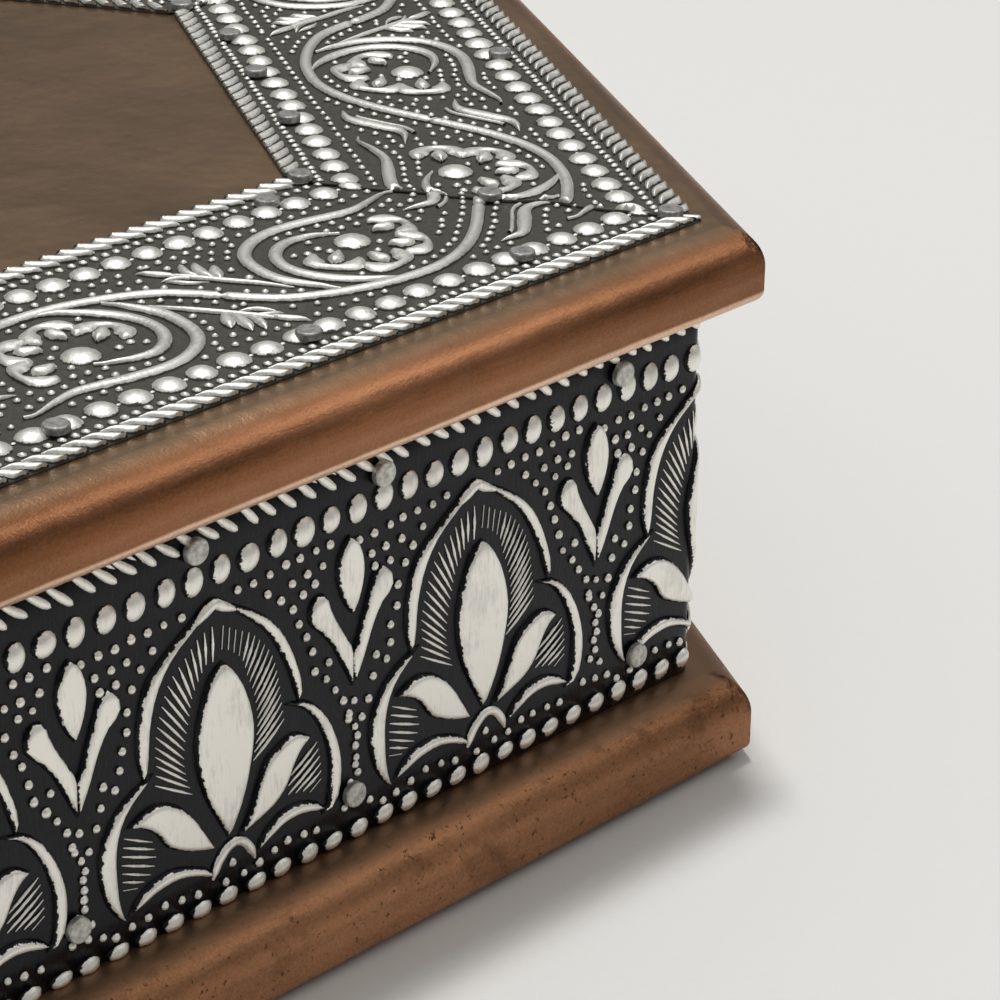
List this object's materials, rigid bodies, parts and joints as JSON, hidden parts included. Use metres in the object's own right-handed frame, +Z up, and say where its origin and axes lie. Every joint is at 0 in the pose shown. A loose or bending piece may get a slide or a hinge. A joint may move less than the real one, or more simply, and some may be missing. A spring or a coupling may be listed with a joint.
{
  "type": "trinket box",
  "caption": "Hexagonal hinged trinket box of wood, with copper-clad lid and base edges and embossed metal strips nailed to the lid and sides.",
  "frame": {"origin": "middle of the underside of the felt under the base", "axes": "+Z up, -Y is the outward normal of the front side, the hinges are on the +Y side, corners lie on +X and -X"},
  "size_m": [0.1768, 0.153, 0.0498],
  "materials": {
    "carcass_wood": "dark stained, satin",
    "copper_sheet": "aged copper sheet, brushed, with brown patina",
    "embossed_metal": "embossed white metal, polished relief over a dark ground",
    "nail_steel": "dull grey steel",
    "hinge_brass": "aged brass",
    "felt": "short pile felt"
  },
  "bodies": {
    "box": {"base_board": "carcass_wood", "base_copper": "copper_sheet", "base_felt": "felt", "base_fixing_nails": "nail_steel", "floor_lining": "felt", "wall_front": "carcass_wood", "wall_front_right": "carcass_wood", "wall_back_right": "carcass_wood", "wall_back": "carcass_wood", "wall_back_left": "carcass_wood", "wall_front_left": "carcass_wood", "side_strip": "embossed_metal", "side_nails": "nail_steel", "hinge_left_body_leaf": "hinge_brass", "hinge_right_body_leaf": "hinge_brass", "hinge_left_pin": "hinge_brass", "hinge_right_pin": "hinge_brass", "hinge_body_screws": "hinge_brass"},
    "lid": {"lid_board": "carcass_wood", "lid_copper": "copper_sheet", "lid_strip_front": "embossed_metal", "lid_strip_front_right": "embossed_metal", "lid_strip_back_right": "embossed_metal", "lid_strip_back": "embossed_metal", "lid_strip_back_left": "embossed_metal", "lid_strip_front_left": "embossed_metal", "lid_nails": "nail_steel", "hinge_left_lid_leaf": "hinge_brass", "hinge_right_lid_leaf": "hinge_brass", "hinge_lid_screws": "hinge_brass"}
  },
  "joints": [
    {"name": "lid_hinge", "type": "hinge", "parent": "box", "child": "lid", "pos_m": [0, 0.07381, 0.04265], "axis": [-1, 0, 0], "range_deg": [0, 140]}
  ]
}
